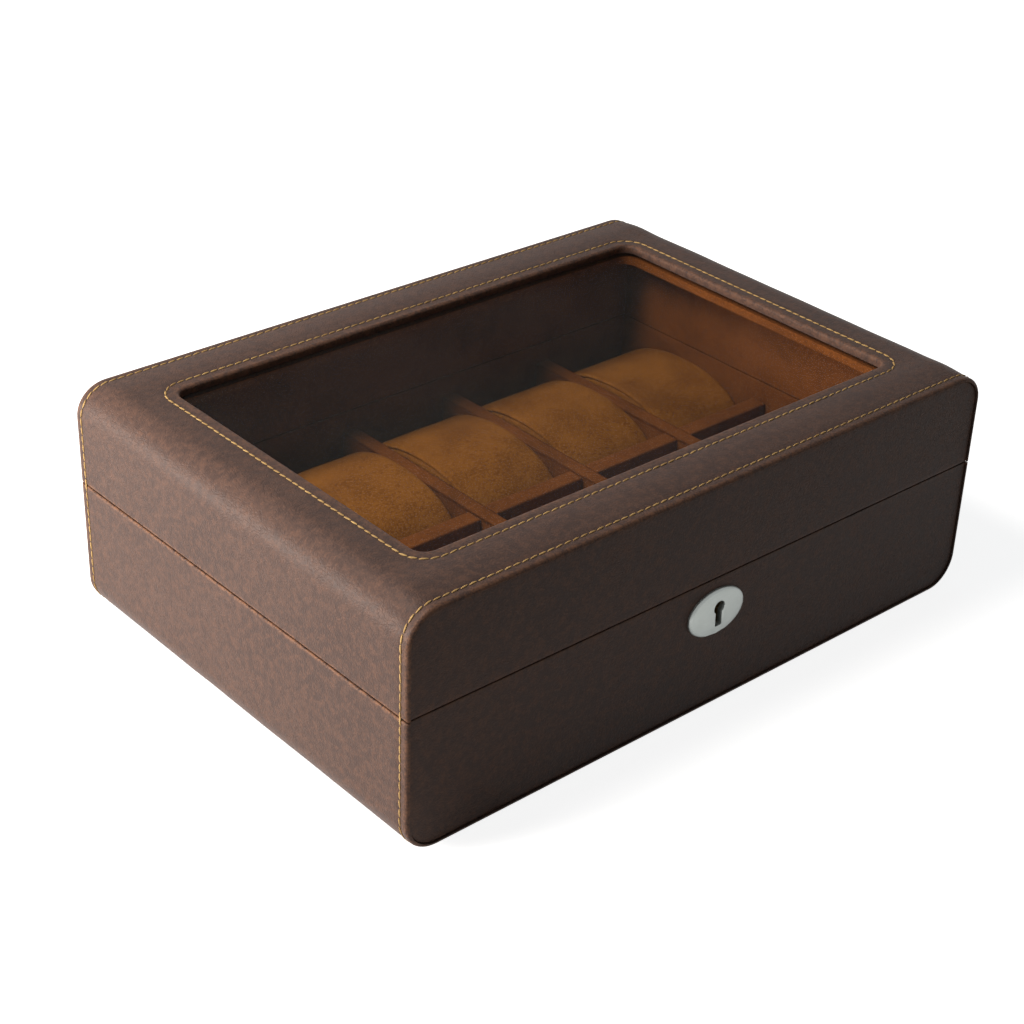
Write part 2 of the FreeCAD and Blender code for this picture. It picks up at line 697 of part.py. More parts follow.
def build_cushions():
    shape = cushion_shape()
    middle_z = (number("cushion_top") + number("cushion_bottom")) / 2
    for row, sign in ROWS.items():
        for column in range(1, COLUMNS + 1):
            x = number("column_pitch") * (column - 0.5) - number("lined_x") - number("divider_half")
            cushion = doc.addObject("Part::Feature", f"cushion_{row}_{column}")
            cushion.Shape = shape
            cushion.Placement.Base = FreeCAD.Vector(x, number(sign + "row_y"), middle_z)
            keep(cushion, f"cushion_{row}_{column}")


HINGE_SCREWS = [
    (f"{side}hinge_x + ({end}leaf_screw_pitch / 2)", "leaf_screw_y")
    for side in SIDES.values()
    for end in SIDES.values()
]
PLATE_SCREWS = [(sign + "plate_screw_x", "lock_mid_y") for sign in SIDES.values()]
PLATE_X = across("faceplate_half_width")
PLATE_RECESS_X = across("faceplate_half_width + mortise_clearance")
CASE_Y = ("case_front", "case_back")
CASE_RECESS_Y = ("case_front - mortise_clearance", "case_back + mortise_clearance")
BOLT_Y = ("bolt_front", "bolt_back")
BOLT_CHANNEL_Y = ("bolt_front - running_clearance", "bolt_back + running_clearance")
LOCK_PLACE = ("0", "lock_z")


def plug_passage(name):
    """Hole through the front wall for the turning part of the lock."""
    radius = "plug_radius + mortise_clearance"
    return rod(name + "_passage", "y", radius, "-panel_face_y - beyond", "case_front", LOCK_PLACE)


def faceplate_recess(name):
    z = ("faceplate_bottom", "base_height + beyond")
    return block(name + "_faceplate_mortise", PLATE_RECESS_X, CASE_RECESS_Y, z)


def strike_plate_recess(name):
    z = ("lid_bottom - beyond", "strike_top")
    return block(name + "_strike_mortise", PLATE_RECESS_X, CASE_RECESS_Y, z)


def lock_recess():
    """Everything that the lock takes out of the front wall of the base."""
    case_z = ("case_bottom - mortise_clearance", "base_height + beyond")
    case = block("case_mortise", across("case_half_width + mortise_clearance"), CASE_RECESS_Y, case_z)
    holes = screw_holes("lock_wall", PLATE_SCREWS, "base_height", "down")
    return [case, faceplate_recess("base_front"), plug_passage("base_front")] + holes


def strike_recess():
    """Everything that the strike takes out of the front wall of the lid."""
    return [strike_plate_recess("lid_front")] + screw_holes("strike_wall", PLATE_SCREWS, "lid_bottom", "up")


def keyhole(name, y):
    """Keyhole cutter along Y: a round head over a narrower slot."""
    head_z = "lock_z + keyhole_length / 2 - keyhole_radius"
    head = rod(name + "_head", "y", "keyhole_radius", *y, ("0", head_z))
    slot = block(name + "_slot", across("keyhole_slot / 2"), y, ("lock_z - keyhole_length / 2", head_z))
    return [head, slot]


def build_lock():
    """Box lock: the key turns a plug, whose crank pin slides a bolt sideways through the lid's staple."""
    build_lock_case()
    plug = rod("plug_barrel", "y", "plug_radius", "plug_front", "plug_back", LOCK_PLACE)
    crank_place = ("-crank_offset", "lock_z + crank_offset")
    crank_start = "plug_back - running_clearance"
    crank = rod("plug_crank", "y", "crank_pin_radius", crank_start, "bolt_back", crank_place)
    keyway = keyhole("keyway", ("plug_front - beyond", "plug_front + keyway_depth"))
    keep(cut("plug", fused("plug_solid", [plug, crank]), keyway), "lock_plug")

    bar = block("bolt_bar", ("bolt_left", "bolt_right"), BOLT_Y, ("bolt_bottom", "bolt_top"))
    tail_x = ("-crank_offset - tail_half", "tail_half - crank_offset")
    tail = block("bolt_tail", tail_x, BOLT_Y, ("tail_bottom", "bolt_top"))
    slot = block(
        "crank_slot",
        ("-crank_offset - crank_slot_half", "crank_slot_half - crank_offset"),
        ("bolt_front - beyond", "bolt_back + beyond"),
        ("tail_bottom - beyond", "crank_slot_top"))
    keep(cut("bolt", fused("bolt_solid", [bar, tail]), [slot]), "lock_bolt")

    plate = block("strike_blank", PLATE_X, CASE_Y, ("lid_bottom", "strike_top"))
    staple = block(
        "staple_blank",
        ("staple_x - staple_half", "staple_x + staple_half"),
        ("lock_mid_y - staple_width / 2", "lock_mid_y + staple_width / 2"),
        ("staple_bottom", "strike_top"))
    hole = block(
        "staple_hole",
        ("staple_x - staple_half - beyond", "staple_x + staple_half + beyond"),
        ("bolt_front - staple_hole_play", "bolt_back + staple_hole_play"),
        ("bolt_bottom - staple_hole_play", "bolt_top + staple_hole_play"))
    strike_cuts = [hole] + screw_holes("strike", PLATE_SCREWS, "lid_bottom", "up")
    keep(cut("strike", fused("strike_solid", [plate, staple]), strike_cuts), "strike_plate")
    keep(screw_group("strike_plate_screws", PLATE_SCREWS, "lid_bottom", "up"), "strike_screws")
    build_escutcheon()


def build_lock_case():
    """Case with its faceplate, hollow where the bolt slides, the plug turns and the staple drops in."""
    box = block("case_box", across("case_half_width"), CASE_Y, ("case_bottom", "base_height"))
    plate = block("case_plate", PLATE_X, CASE_Y, ("faceplate_bottom", "base_height"))
    bar_channel = block(
        "bar_channel",
        ("bolt_left - running_clearance", "bolt_right + bolt_travel + running_clearance"),
        BOLT_CHANNEL_Y,
        ("bolt_bottom - running_clearance", "bolt_top + running_clearance"))
    tail_channel = block(
        "tail_channel",
        ("-crank_offset - tail_half - running_clearance", "crank_offset + tail_half + running_clearance"),
        BOLT_CHANNEL_Y,
        ("tail_bottom - running_clearance", "bolt_top"))
    staple_slot = block(
        "staple_slot",
        ("staple_x - staple_half - staple_play", "staple_x + staple_half + staple_play"),
        ("lock_mid_y - staple_width / 2 - staple_play", "lock_mid_y + staple_width / 2 + staple_play"),
        ("staple_bottom - staple_play", "base_height + beyond"))
    bearing = rod("plug_bearing", "y", "plug_bore", "case_front - beyond", "bolt_front", LOCK_PLACE)
    holes = screw_holes("lock_case", PLATE_SCREWS, "base_height", "down")
    hollows = [bar_channel, tail_channel, staple_slot, bearing] + holes
    keep(cut("case", fused("case_solid", [box, plate]), hollows), "lock_case")
    keep(screw_group("case_screws", PLATE_SCREWS, "base_height", "down"), "lock_screws")


def build_escutcheon():
    """Oval plate round the keyhole, with a softly rounded face."""
    major = number("escutcheon_width") / 2
    minor = number("escutcheon_height") / 2
    thickness = number("escutcheon_thickness")
    middle = FreeCAD.Vector(0, number("-panel_face_y"), number("lock_z"))
    oval = Part.Ellipse(
        middle + FreeCAD.Vector(major, 0, 0), middle + FreeCAD.Vector(0, 0, minor), middle)
    plate = Part.Face(Part.Wire(oval.toShape())).extrude(FreeCAD.Vector(0, -thickness, 0))
    rim = [edge for edge in plate.Edges if edge.BoundBox.YMax < middle.y - thickness + TOLERANCE]
    rounding = min(number("escutcheon_rounding"), thickness * ROUNDING_SHARE)
    blank = doc.addObject("Part::Feature", "escutcheon_blank")
    blank.Shape = plate.makeFillet(rounding, rim)
    hole_y = ("-panel_face_y - escutcheon_thickness - beyond", "beyond - panel_face_y")
    keep(cut("escutcheon", blank, keyhole("escutcheon_keyhole", hole_y)), "lock_escutcheon")


def check_and_write():
    """Stop on any failed feature or bad solid, then write one file for each piece."""
    doc.recompute()
    for item in doc.Objects:
        if {"Invalid", "Error"} & set(item.State):
            raise RuntimeError(f"{item.Name} failed: {item.State}")
    for name, item in pieces.items():
        if item.Shape.isNull() or not item.Shape.isValid() or not item.Shape.Solids:
            raise RuntimeError(f"{name} has no sound solid")
    os.makedirs("parts", exist_ok=True)
    for name, item in pieces.items():
        item.Shape.exportStep(os.path.join("parts", name + ".step"))
        print(f"{name}: {len(item.Shape.Solids)} solid, {item.Shape.Volume:.1f} mm3")


build_base()
build_lid()
build_hinges()
build_tray()
build_cushions()
build_lock()
check_and_write()
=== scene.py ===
import math

import bmesh
import bpy
from mathutils import Matrix, Vector, noise


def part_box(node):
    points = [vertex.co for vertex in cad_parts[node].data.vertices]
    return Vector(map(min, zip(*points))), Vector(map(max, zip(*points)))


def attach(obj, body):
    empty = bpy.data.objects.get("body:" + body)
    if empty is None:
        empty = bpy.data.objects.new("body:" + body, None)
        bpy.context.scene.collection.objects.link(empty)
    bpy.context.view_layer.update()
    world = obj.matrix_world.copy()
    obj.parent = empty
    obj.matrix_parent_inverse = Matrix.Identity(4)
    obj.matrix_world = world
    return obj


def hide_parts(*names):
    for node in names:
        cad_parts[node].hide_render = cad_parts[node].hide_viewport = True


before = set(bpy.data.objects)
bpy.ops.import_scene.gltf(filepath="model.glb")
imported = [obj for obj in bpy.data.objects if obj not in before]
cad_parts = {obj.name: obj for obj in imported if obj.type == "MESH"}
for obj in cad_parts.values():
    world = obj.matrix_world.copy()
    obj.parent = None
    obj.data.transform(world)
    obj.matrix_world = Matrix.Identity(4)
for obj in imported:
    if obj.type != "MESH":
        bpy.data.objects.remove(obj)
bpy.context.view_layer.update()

# Shapes are written in millimetres and become metres when their mesh is made.
MM = 0.001


def node_box(node):
    low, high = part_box(node)
    return Vector(low) / MM, Vector(high) / MM


lid_low, lid_high = node_box("lid_leather_wrap")
base_low, base_high = node_box("base_leather_wrap")
panel_low, panel_high = node_box("lid_front_leather")
HALF_WIDTH = lid_high.x
HALF_DEPTH = lid_high.y
LEATHER = panel_high.y - panel_low.y
PANEL_FACE = -panel_low.y
PANEL_BACK = -panel_high.y
CORNER = 14.0

GLASS_TOP = node_box("window_glass")[1].z
OPENING_X = 122.0
OPENING_Y = 77.0
OPENING_CORNER = 6.0

LOCK_Z = 44.6


# Finishes

class Value:
    """A socket in a node tree. Arithmetic on it adds Math nodes."""

    def __init__(self, tree, socket):
        self.tree = tree
        self.socket = socket

    def math(self, operation, *values):
        return self.tree.node("ShaderNodeMath", {"operation": operation}, dict(enumerate(values)))

    def __add__(self, other):
        return self.math("ADD", self, other)

    def __radd__(self, other):
        return self.math("ADD", other, self)

    def __sub__(self, other):
        return self.math("SUBTRACT", self, other)

    def __rsub__(self, other):
        return self.math("SUBTRACT", other, self)

    def __mul__(self, other):
        return self.math("MULTIPLY", self, other)

    def __rmul__(self, other):
        return self.math("MULTIPLY", other, self)


class Tree:
    """A node tree and the one way to add a node to it."""

    def __init__(self, nodes):
        self.nodes = nodes
        self.nodes.nodes.clear()

    def node(self, kind, settings=None, sockets=None, output=0):
        made = self.nodes.nodes.new(kind)
        for name, setting in (settings or {}).items():
            setattr(made, name, setting)
        for name, value in (sockets or {}).items():
            if isinstance(value, Value):
                self.nodes.links.new(value.socket, made.inputs[name])
            else:
                made.inputs[name].default_value = value
        return Value(self, made.outputs[output]) if made.outputs else None


class Finish(Tree):
    """A procedural material."""

    def __init__(self, name):
        self.material = bpy.data.materials.new(name)
        self.material.use_nodes = True
        super().__init__(self.material.node_tree)

    def place(self):
        return self.node("ShaderNodeTexCoord", output="Object")

    def stretched(self, place, x, y, z):
        return self.node("ShaderNodeMapping", {}, {"Vector": place, "Scale": (x, y, z)})

    def shifted(self, place, size, by):
        """The place, pushed about by a cloud of the given size."""
        cloud = {"Vector": place, "Scale": 1 / (size * MM), "Detail": 2.0}
        push = self.node("ShaderNodeTexNoise", {}, cloud, "Color")
        middle = (0.5, 0.5, 0.5)
        centred = self.node("ShaderNodeVectorMath", {"operation": "SUBTRACT"}, {0: push, 1: middle})
        scaled = self.node("ShaderNodeVectorMath", {"operation": "SCALE"}, {0: centred, "Scale": by * MM})
        return self.node("ShaderNodeVectorMath", {"operation": "ADD"}, {0: place, 1: scaled})

    def cloud(self, place, size, detail=2.0, roughness=0.5):
        sockets = {"Vector": place, "Scale": 1 / (size * MM), "Detail": detail, "Roughness": roughness}
        return self.node("ShaderNodeTexNoise", {}, sockets)

    def creases(self, place, size):
        """Distance to the edges of cells of the given size."""
        settings = {"feature": "DISTANCE_TO_EDGE"}
        return self.node("ShaderNodeTexVoronoi", settings, {"Vector": place, "Scale": 1 / (size * MM)})

    def between(self, value, low, high):
        settings = {"interpolation_type": "SMOOTHSTEP"}
        return self.node("ShaderNodeMapRange", settings, {0: value, 1: low, 2: high})

    def blend(self, share, first, second):
        return self.node("ShaderNodeMix", {"data_type": "RGBA"}, {0: share, 6: first, 7: second}, 2)

    def bump(self, height, depth, strength=1.0):
        sockets = {"Height": height, "Distance": depth * MM, "Strength": strength}
        return self.node("ShaderNodeBump", {}, sockets)

    def principled(self, **sockets):
        named = {name.replace("_", " "): value for name, value in sockets.items()}
        return self.node("ShaderNodeBsdfPrincipled", {}, named)

    def surface(self, shader):
        self.node("ShaderNodeOutputMaterial", {}, {"Surface": shader})
        return self.material


def rgb(red, green, blue):
    return (red, green, blue, 1.0)


def leather_finish():
    leather = Finish("dark_brown_leather")
    place = leather.place()
    drift = leather.shifted(place, 6.0, 2.6)
    mottle = leather.cloud(drift, 3.4, 3.0, 0.66)
    patches = leather.cloud(place, 42.0, 2.0)
    pores = leather.cloud(place, 0.85, 2.0, 0.65)
    pebbles = leather.between(leather.creases(drift, 1.3), 0.0, 0.3)
    ripple = leather.cloud(leather.stretched(drift, 1.0, 0.55, 1.35), 2.4, 1.0)
    fold = 1 - leather.between(ripple.math("ABSOLUTE", ripple - 0.5), 0.0, 0.05)
    fold = fold * leather.between(patches, 0.42, 0.6)

    dark = rgb(0.043, 0.0265, 0.022)
    brown = rgb(0.066, 0.0385, 0.0295)
    russet = rgb(0.093, 0.0475, 0.032)
    # The lighter orange-brown of the painted edge highlight.
    highlit = rgb(0.165, 0.079, 0.043)
    ground = leather.blend(leather.between(patches * 0.3 + mottle * 0.7, 0.34, 0.66), dark, brown)
    ground = leather.blend(leather.between(mottle * 0.5 + pores * 0.5, 0.47, 0.66) * 0.5, ground, russet)
    # Painted shade: the folds and the creases between the pebbles are darkened towards the dark tone.
    ground = leather.blend(fold * 0.4 + (1 - pebbles) * 0.12, ground, dark)
    # Painted highlight: the rolled edges turn a lighter orange-brown by each point's share, patchy with
    # the mottle and pores.
    edge_highlight = leather.node("ShaderNodeAttribute", {"attribute_name": "edge_highlight"}, output="Fac")
    colour = leather.blend(edge_highlight * leather.between(mottle * 0.5 + pores * 0.5, 0.36, 0.6), ground, highlit)

    shader = leather.principled(
        Base_Color=colour,
        Roughness=0.42 + mottle * 0.1 + fold * 0.06,
        Specular_IOR_Level=0.07,
        Normal=leather.bump(pebbles * 0.3 + pores * 0.35 - fold * 0.35, 0.2, 0.75),
    )
    return leather.surface(shader)


def suede_finish(name, deep, bright):
    suede = Finish(name)
    place = suede.place()
    nap = suede.cloud(suede.shifted(place, 14.0, 6.0), 20.0, 2.0)
    pile = suede.cloud(place, 0.9, 2.0, 0.75)
    tone = suede.between(nap * 0.35 + pile * 0.65, 0.32, 0.68)
    shader = suede.principled(
        Base_Color=suede.blend(tone, deep, bright),
        Roughness=0.86 + pile * 0.12,
        Specular_IOR_Level=0.03,
        Sheen_Weight=0.03,
        Sheen_Roughness=0.45,
        Sheen_Tint=rgb(0.9, 0.55, 0.28),
        Normal=suede.bump(pile, 0.1, 0.5),
    )
    return suede.surface(shader)


def felt_finish():
    felt = Finish("dark_felt")
    place = felt.place()
    fibres = felt.cloud(felt.shifted(place, 1.5, 1.2), 0.5, 4.0, 0.7)
    matting = felt.cloud(place, 6.0, 2.0)
    tone = felt.between(fibres * 0.6 + matting * 0.4, 0.35, 0.65)
    colour = felt.blend(tone, rgb(0.014, 0.01, 0.008), rgb(0.034, 0.025, 0.02))
    shader = felt.principled(
        Base_Color=colour,
        Roughness=0.9 + fibres * 0.1,
        Specular_IOR_Level=0.1,
        Normal=felt.bump(fibres, 0.3, 0.7),
    )
    return felt.surface(shader)


def board_finish():
    board = Finish("fibreboard")
    place = board.place()
    fibres = board.cloud(board.stretched(place, 0.25, 1.0, 1.0), 0.9, 4.0, 0.65)
    flecks = board.cloud(place, 3.5, 3.0)
    tone = board.between(fibres * 0.5 + flecks * 0.5, 0.36, 0.64)
    colour = board.blend(tone, rgb(0.29, 0.18, 0.095), rgb(0.45, 0.31, 0.18))
    shader = board.principled(
        Base_Color=colour,
        Roughness=0.7 + fibres * 0.2,
        Normal=board.bump(fibres, 0.1, 0.5),
    )
    return board.surface(shader)


def metal_finish(name, dark, bright, roughness, brush):
    metal = Finish(name)
    place = metal.place()
    lines = metal.cloud(metal.stretched(place, *brush), 0.35, 3.0, 0.6)
    tarnish = metal.cloud(place, 5.0, 3.0, 0.6)
    shader = metal.principled(
        Base_Color=metal.blend(metal.between(tarnish * 0.4 + lines * 0.6, 0.25, 0.75), dark, bright),
        Metallic=1.0,
        Roughness=roughness + lines * 0.12 + tarnish * 0.08,
        Normal=metal.bump(lines, 0.02, 0.35),
    )
    return metal.surface(shader)


def glass_finish():
    glass = Finish("window_glass")
    place = glass.place()
    dust = glass.between(glass.cloud(place, 0.9, 2.0), 0.66, 0.8)
    smears_and_reflection = glass.cloud(glass.shifted(place, 40.0, 22.0), 55.0, 2.0)
    clear = glass.node("ShaderNodeBsdfTransparent", {}, {"Color": rgb(0.95, 0.97, 0.95)})
    gloss = glass.node("ShaderNodeBsdfGlossy", {}, {"Color": rgb(0.9, 0.93, 0.95), "Roughness": 0.03})
    film = glass.node("ShaderNodeBsdfDiffuse", {}, {"Color": rgb(0.8, 0.82, 0.82)})
    facing = glass.node("ShaderNodeLayerWeight", {}, {"Blend": 0.5}, "Facing")
    pane = glass.node("ShaderNodeMixShader", {}, {0: facing * facing * facing * 0.01, 1: clear, 2: gloss})
    # Painted reflection: a diffuse film, in an even faint share and in smeared patches, lays a grey veil
    # over the interior in place of the glass reflecting the room; the dust specks are real dust.
    dust_and_reflection = smears_and_reflection * 0.007 + dust * 0.01 + 0.0025
    return glass.surface(glass.node("ShaderNodeMixShader", {}, {0: dust_and_reflection, 1: pane, 2: film}))


def thread_finish():
    thread = Finish("tan_thread")
    place = thread.place()
    strands = thread.cloud(place, 0.35, 3.0, 0.6)
    lots = thread.cloud(place, 9.0, 2.0)
    tone = thread.between(strands * 0.6 + lots * 0.4, 0.35, 0.65)
    colour = thread.blend(tone, rgb(0.2, 0.12, 0.045), rgb(0.37, 0.24, 0.095))
    shader = thread.principled(
        Base_Color=colour,
        Roughness=0.62 + strands * 0.2,
        Specular_IOR_Level=0.15,
        Normal=thread.bump(strands, 0.08, 0.6),
    )
    return thread.surface(shader)


FINISHES = {
    "leather": leather_finish(),
    "lining_suede": suede_finish("lining_suede", rgb(0.088, 0.024, 0.0048), rgb(0.185, 0.053, 0.011)),
    "cushion_suede": suede_finish("cushion_suede", rgb(0.12, 0.037, 0.005), rgb(0.27, 0.093, 0.014)),
    "felt": felt_finish(),
    "board": board_finish(),
    "glass": glass_finish(),
    "satin_nickel": metal_finish(
        "satin_nickel", rgb(0.285, 0.305, 0.292), rgb(0.335, 0.359, 0.346), 0.32, (0.08, 1.0, 1.0)
    ),
    "nickel_plate": metal_finish(
        "nickel_plate", rgb(0.5, 0.49, 0.45), rgb(0.66, 0.65, 0.61), 0.22, (0.1, 1.0, 1.0)
    ),
    "brass": metal_finish(
        "aged_brass", rgb(0.13, 0.085, 0.035), rgb(0.26, 0.175, 0.075), 0.4, (1.0, 0.1, 1.0)
    ),
}
THREAD = thread_finish()


# Meshes

def smooth_step(value):
    held = min(1.0, max(0.0, value))
    return held * held * (3.0 - 2.0 * held)


def spread(first, last, steps):
    """Evenly spaced numbers from first to last, both included."""
    return [first + (last - first) * k / steps for k in range(steps + 1)]


def unevenness(x, y, z, size):
    return noise.noise(Vector((x, y, z)) / size)


def make_piece(name, points, faces, body, slot, edge_highlight=None, material=None, sharp=35.0):
    """A closed piece from points in millimetres, with its normals turned outwards."""
    mesh = bpy.data.meshes.new(name)
    mesh.from_pydata([Vector(point) * MM for point in points], [], faces)
    # Each point's share of painted edge highlight is kept as a point attribute.
    if edge_highlight:
        mesh.attributes.new("edge_highlight", "FLOAT", "POINT").data.foreach_set("value", edge_highlight)
    shape = bmesh.new()
    shape.from_mesh(mesh)
    bmesh.ops.remove_doubles(shape, verts=shape.verts, dist=0.002 * MM)
    bmesh.ops.recalc_face_normals(shape, faces=shape.faces)
    shape.to_mesh(mesh)
    shape.free()
    return dress(name, mesh, body, slot, material, sharp)


def dress(name, mesh, body, slot, material=None, sharp=35.0):
    mesh.polygons.foreach_set("use_smooth", [True] * len(mesh.polygons))
    mesh.set_sharp_from_angle(angle=math.radians(sharp))
    mesh.materials.clear()
    mesh.materials.append(material or FINISHES[slot])
    piece = bpy.data.objects.new(name, mesh)
    bpy.context.scene.collection.objects.link(piece)
    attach(piece, body)
    return piece


# Leather wraps: one sheet each, round the left, the top or bottom, and the right

ROLL = 1.5
WAVE = 0.16
WAVE_LENGTH = 21.0
STITCH_INSET = 4.0
WINDOW_STITCH = 5.4
GROOVE = [(-1.2, 0.0), (-0.6, 0.12), (0.0, 0.2), (0.6, 0.12), (1.2, 0.0)]
ZONE = 12.0
ZONE_CORNER = 6
ZONE_LONG = 58
ZONE_SHORT = 36
ARC_STEPS = 14


def rolled_edge(radius, steps=5):
    """Steps (distance from the edge, inset from the face) up a rounded edge."""
    angles = spread(0.0, math.pi / 2, steps)
    return [(radius * (1 - math.cos(angle)), radius * (1 - math.sin(angle))) for angle in angles]


def wrap_stations(parting, far, across):
    """The wrap's outline from its left edge round to its right edge.

    Each station is (x, z, outward x, outward z, inset, painted edge highlight).
    """
    way = 1.0 if far > parting else -1.0
    wall = abs(far - parting) - CORNER
    # The rolled parting edge gets a painted highlight.
    steps = [(rise, inset, 0.9 if inset > 0.1 else 0.5) for rise, inset in rolled_edge(0.65, 4)]
    steps += [(rise, 0.0, 0.0) for rise in spread(1.5, wall, max(4, round(wall / 4)))]
    left = [(-HALF_WIDTH, parting + way * rise, -1.0, 0.0, inset, edge_highlight) for rise, inset, edge_highlight in steps]
    for angle in spread(0.0, math.pi / 2, ARC_STEPS)[1:-1]:
        x = -HALF_WIDTH + CORNER * (1 - math.cos(angle))
        z = far - way * CORNER * (1 - math.sin(angle))
        left.append((x, z, -math.cos(angle), way * math.sin(angle), 0.0, 0.0))
    top = [(x, far, 0.0, way, 0.0, 0.0) for x in across]
    right = [(-x, z, -out_x, out_z, inset, edge_highlight) for x, z, out_x, out_z, inset, edge_highlight in reversed(left)]
    return left + top + right


def wrap_rows(middle):
    """Rows across the wrap from front to back: (y, inset, painted edge highlight)."""
    rows = [(PANEL_BACK + 0.1, LEATHER, 0.0), (HALF_DEPTH - 0.2, LEATHER, 0.0)]
    # The rolled front and back edges, and a strip inside them, get a painted highlight.
    rows += [(HALF_DEPTH - run, inset, 0.4 if inset > 0.05 else 0.25) for run, inset in rolled_edge(ROLL)]
    rows.append((HALF_DEPTH - 2.2, 0.0, 0.1))
    rows += [(HALF_DEPTH - STITCH_INSET - offset, depth, 0.0) for offset, depth in GROOVE]
    rows += [(HALF_DEPTH - inset, 0.0, 0.0) for inset in (7.5, 10.5, 13.5)]
    front = [(-y, inset, edge_highlight) for y, inset, edge_highlight in rows]
    return front + [(y, 0.0, 0.0) for y in middle] + rows[::-1]


def lid_drop(y):
    """How far the padded top falls towards the front and back edges."""
    inward = HALF_DEPTH - abs(y)
    swell = 0.3 * math.sin(math.pi * min(1.0, max(0.0, (inward - STITCH_INSET) / 20.0)))
    return 1.0 - smooth_step(inward / 17.0) - swell


def flat_drop(y):
    return 0.0


def wrap_point(station, row, drop):
    x, z, out_x, out_z, edge_inset, _ = station
    y, row_inset, _ = row
    flat = abs(out_z) ** 2
    inset = max(edge_inset, row_inset) + drop(y) * flat
    calm = smooth_step((HALF_DEPTH - abs(y)) / 10.0) if row_inset < LEATHER else 0.0
    inset += WAVE * unevenness(x, y, z, WAVE_LENGTH) * calm * (1.0 if edge_inset == 0 else 0.0)
    return (x - out_x * inset, y, z - out_z * inset)


def window_outline(offset):
    """Points round the window opening, grown by an offset, from the left end of the front side."""
    centre_x = OPENING_X - OPENING_CORNER
    centre_y = OPENING_Y - OPENING_CORNER
    radius = OPENING_CORNER + offset
    reach_x = centre_x + radius
    reach_y = centre_y + radius
    points = []

    def corner(x, y, start):
        for degrees in spread(start, start + 90.0, 2 * ZONE_CORNER)[:-1]:
            angle = math.radians(degrees)
            points.append((x + radius * math.cos(angle), y + radius * math.sin(angle)))

    points += [(x, -reach_y) for x in spread(-centre_x, centre_x, ZONE_LONG)[:-1]]
    corner(centre_x, -centre_y, -90.0)
    points += [(reach_x, y) for y in spread(-centre_y, centre_y, ZONE_SHORT)[:-1]]
    corner(centre_x, centre_y, 0.0)
    points += [(x, reach_y) for x in spread(centre_x, -centre_x, ZONE_LONG)[:-1]]
    corner(-centre_x, centre_y, 90.0)
    points += [(-reach_x, y) for y in spread(centre_y, -centre_y, ZONE_SHORT)[:-1]]
    corner(-centre_x, -centre_y, 180.0)
    return points


def zone_lines(opening, steps):
    """Grid lines of the zone round the window, along one direction."""
    centre = opening - OPENING_CORNER
    reach = opening + ZONE
    return (
        spread(-reach, -centre, ZONE_CORNER)[:-1]
        + spread(-centre, centre, steps)
        + spread(centre, reach, ZONE_CORNER)[1:]
    )


def window_rings():
    """Rings from the zone in to the glass: (offset, fall below the top or None for the glass, painted edge
    highlight).
    """
    rings = [(offset, 0.0, 0.0) for offset in (10.0, 8.2)]
    rings += [(WINDOW_STITCH - offset, depth, 0.0) for offset, depth in GROOVE]
    # The window's rolled edge and the strip beside it get a painted highlight.
    rings += [(3.0, 0.0, 0.1), (2.0, 0.0, 0.2)]
    rings += [(run, inset, 0.3) for run, inset in rolled_edge(1.3)[::-1]]
    rings += [(0.0, None, 0.0), (LEATHER, None, 0.0)]
    return rings


def add_layer(sheet, stations, rows, drop, zone=None, rings=None):
    """One face of a wrap. Returns the point numbers of its left and right edges."""
    points, faces, edge_highlight = sheet
    number = {}

    def put(key, point, highlit):
        number[key] = len(points)
        points.append(point)
        edge_highlight.append(highlit)

    def in_zone(i, j):
        return zone and zone[0] < i < zone[1] and zone[2] < j < zone[3]

    for i, station in enumerate(stations):
        for j, row in enumerate(rows):
            if not in_zone(i, j):
                put((i, j), wrap_point(station, row, drop), max(station[5], row[2]))
    for i in range(len(stations) - 1):
        for j in range(len(rows) - 1):
            if not (zone and zone[0] <= i < zone[1] and zone[2] <= j < zone[3]):
                faces.append([number[key] for key in ((i, j), (i + 1, j), (i + 1, j + 1), (i, j + 1))])
    if zone:
        add_window(sheet, number, stations, rows, drop, zone, rings)
    last = len(stations) - 1
    return [[number[i, j] for j in range(len(rows))] for i in (0, last)]


def add_window(sheet, number, stations, rows, drop, zone, rings):
    points, faces, edge_highlight = sheet
    left, right, front, back = zone
    start = left + ZONE_CORNER
    loop = [(i, front) for i in range(start, right)]
    loop += [(right, j) for j in range(front, back)]
    loop += [(i, back) for i in range(right, left, -1)]
    loop += [(left, j) for j in range(back, front, -1)]
    loop += [(i, front) for i in range(left, start)]
    outer = [number[key] for key in loop]
    for offset, fall, highlit in rings:
        inner = []
        for x, y in window_outline(offset):
            uneven = WAVE * unevenness(x, y, lid_high.z, WAVE_LENGTH)
            rough = uneven if offset > ROLL + 0.3 else 0.0
            top = lid_high.z - drop(y) - rough
            inner.append(len(points))
            points.append((x, y, GLASS_TOP if fall is None else top - fall))
            edge_highlight.append(highlit)
        count = len(inner)
        for k in range(count):
            follow = (k + 1) % count
            faces.append([outer[k], outer[follow], inner[follow], inner[k]])
        outer = inner


